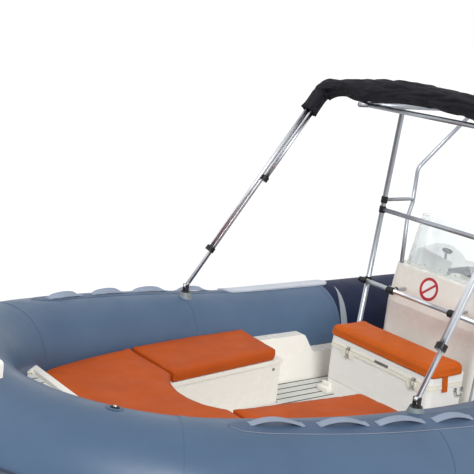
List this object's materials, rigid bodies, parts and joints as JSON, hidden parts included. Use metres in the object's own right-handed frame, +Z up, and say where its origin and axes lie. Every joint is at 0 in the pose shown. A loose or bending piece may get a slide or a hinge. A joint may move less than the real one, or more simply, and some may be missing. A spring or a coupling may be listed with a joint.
{
  "type": "rigid inflatable boat",
  "caption": "Rigid inflatable boat with a blue-grey collar, orange cushions, ice-chest seat, centre console, tube frame, folded sun canopy and tilting outboard motor.",
  "frame": {"origin": "on the centreline at the waterline, abreast of the step between the bow benches and the console", "axes": "+X towards the bow, +Y to port, +Z up"},
  "size_m": [5.5199, 2.542, 2.606],
  "materials": {
    "collar_blue": "coated tube fabric, satin",
    "collar_navy": "coated tube fabric, satin",
    "strake_rubber": "moulded rubber",
    "tread_rubber": "ribbed rubber pad",
    "loop_rubber": "moulded rubber",
    "gelcoat": "white gelcoat on glass fibre",
    "planking": "synthetic planking, brushed",
    "vinyl": "foam cushion in vinyl",
    "clear_acrylic": "clear acrylic",
    "frame_tube": "anodised tube",
    "black_plastic": "nylon fittings",
    "chest_plastic": "rotomoulded plastic",
    "boot_cloth": "woven cover",
    "motor_paint": "marine paint",
    "cowl": "painted cowl",
    "steel": "polished stainless steel"
  },
  "bodies": {
    "boat": {"tube_stern_port": "collar_navy", "tube_stern_starboard": "collar_navy", "tube_side_port": "collar_blue", "tube_side_starboard": "collar_blue", "tube_bow_port": "collar_blue", "tube_bow_starboard": "collar_blue", "rub_strake_port": "strake_rubber", "rub_strake_starboard": "strake_rubber", "tread_pad_port": "tread_rubber", "tread_pad_starboard": "tread_rubber", "lifeline_port": "loop_rubber", "lifeline_starboard": "loop_rubber", "bow_bench_port": "gelcoat", "bow_bench_starboard": "gelcoat", "side_cushion_port": "vinyl", "side_cushion_starboard": "vinyl", "side_coaming_port": "gelcoat", "side_coaming_starboard": "gelcoat", "frame_port": "frame_tube", "frame_starboard": "frame_tube", "canopy_foot_port": "black_plastic", "canopy_foot_starboard": "black_plastic", "hull_bottom": "gelcoat", "floor_panel": "gelcoat", "floor_planking": "planking", "bow_locker": "gelcoat", "bow_pad": "vinyl", "foredeck": "gelcoat", "foredeck_planking": "planking", "bow_nose": "gelcoat", "transom": "gelcoat", "well_wall": "gelcoat", "console": "gelcoat", "windscreen": "clear_acrylic", "chest_plinth": "chest_plastic", "chest_body": "chest_plastic", "chest_hinges": "steel", "frame_crossbars": "frame_tube", "grab_rail": "frame_tube", "helm_bench": "gelcoat", "helm_cushion": "vinyl", "backrest_posts": "frame_tube", "backrest": "vinyl", "helm_boss": "black_plastic", "motor_clamp": "motor_paint", "bow_eye": "steel", "stern_eyes": "steel"},
    "chest_lid": {"chest_lid": "chest_plastic", "chest_cushion": "vinyl"},
    "canopy": {"canopy_leg_port": "frame_tube", "canopy_leg_starboard": "frame_tube", "canopy_tubes_port": "frame_tube", "canopy_tubes_starboard": "frame_tube", "canopy_clamps": "black_plastic", "canopy_boot": "boot_cloth"},
    "helm_wheel": {"steering_wheel": "black_plastic"},
    "motor_bracket": {"motor_swivel": "motor_paint"},
    "motor": {"motor_leg": "motor_paint", "motor_cowl": "cowl"},
    "propeller": {"propeller": "motor_paint"}
  },
  "joints": [
    {"name": "chest_lid", "type": "hinge", "parent": "boat", "child": "chest_lid", "pos_m": [-0.4483, 0, 0.456], "axis": [0, -1, 0], "range_deg": [0, 60]},
    {"name": "canopy_swing", "type": "hinge", "parent": "boat", "child": "canopy", "pos_m": [0.577, 0, 0.70917], "axis": [0, 1, 0], "range_deg": [0, 95]},
    {"name": "motor_tilt", "type": "hinge", "parent": "boat", "child": "motor_bracket", "pos_m": [-2.408, 0, 0.372], "axis": [0, 1, 0], "range_deg": [0, 60]},
    {"name": "motor_steer", "type": "hinge", "parent": "motor_bracket", "child": "motor", "pos_m": [-2.505, 0, 0], "axis": [0, 0, 1], "range_deg": [-35, 35]},
    {"name": "helm_wheel", "type": "hinge", "parent": "boat", "child": "helm_wheel", "pos_m": [-0.99, 0, 0.775], "axis": [0.9162, 0, -0.4008], "range_deg": [-640, 640]},
    {"name": "propeller_spin", "type": "hinge", "parent": "motor", "child": "propeller", "pos_m": [-2.765, 0, -0.44], "axis": [1, 0, 0], "continuous": true}
  ],
  "couplings": [
    {"joint": "helm_wheel", "follows": "motor_steer", "ratio": 18}
  ]
}
